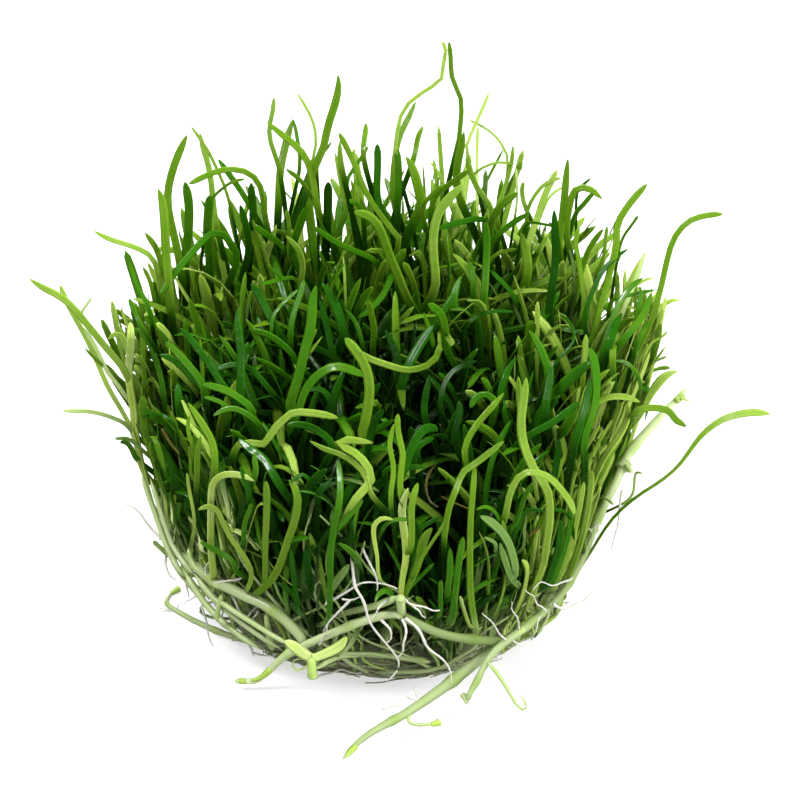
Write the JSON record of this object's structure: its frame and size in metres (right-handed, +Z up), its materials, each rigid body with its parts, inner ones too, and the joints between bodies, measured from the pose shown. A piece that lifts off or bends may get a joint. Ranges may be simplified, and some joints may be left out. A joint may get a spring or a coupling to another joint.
{
  "type": "lilaeopsis clump",
  "caption": "Cup-shaped clump of narrow strap leaves on a flat root mat, with pale runners and white roots trailing from its lower front.",
  "frame": {"origin": "middle of the root mat's flat underside", "axes": "+Z up, out of the mat towards the leaf tips; -Y is the side with the trailing runners; +X along the longest side, towards the far right leaf"},
  "size_m": [0.1123, 0.1029, 0.0926],
  "materials": {
    "leaf": "wet, glossy green leaf, pale at its foot",
    "runner": "smooth, pale green, slightly translucent stem",
    "root": "white root, matte",
    "root_mat": "felted grey-green roots in set gel"
  },
  "bodies": {
    "root": {"plantlet_01": "leaf", "plantlet_02": "leaf", "plantlet_03": "leaf", "plantlet_04": "leaf", "plantlet_05": "leaf", "plantlet_06": "leaf", "plantlet_07": "leaf", "plantlet_08": "leaf", "plantlet_09": "leaf", "plantlet_10": "leaf", "plantlet_11": "leaf", "plantlet_12": "leaf", "plantlet_13": "leaf", "plantlet_14": "leaf", "plantlet_15": "leaf", "plantlet_16": "leaf", "plantlet_17": "leaf", "plantlet_18": "leaf", "plantlet_19": "leaf", "plantlet_20": "leaf", "plantlet_21": "leaf", "plantlet_22": "leaf", "plantlet_23": "leaf", "plantlet_24": "leaf", "plantlet_25": "leaf", "plantlet_26": "leaf", "plantlet_27": "leaf", "plantlet_28": "leaf", "plantlet_29": "leaf", "plantlet_30": "leaf", "plantlet_31": "leaf", "plantlet_32": "leaf", "plantlet_33": "leaf", "plantlet_34": "leaf", "plantlet_35": "leaf", "plantlet_36": "leaf", "plantlet_37": "leaf", "plantlet_38": "leaf", "root_01": "root", "root_02": "root", "root_03": "root", "root_04": "root", "root_05": "root", "root_06": "root", "root_mat": "root_mat", "runner_floor": "runner", "runner_front_left": "runner", "runner_front_right": "runner", "runner_left": "runner", "runner_low": "runner", "runner_right": "runner", "runner_trailing": "runner", "young_shoot": "leaf"}
  },
  "joints": []
}
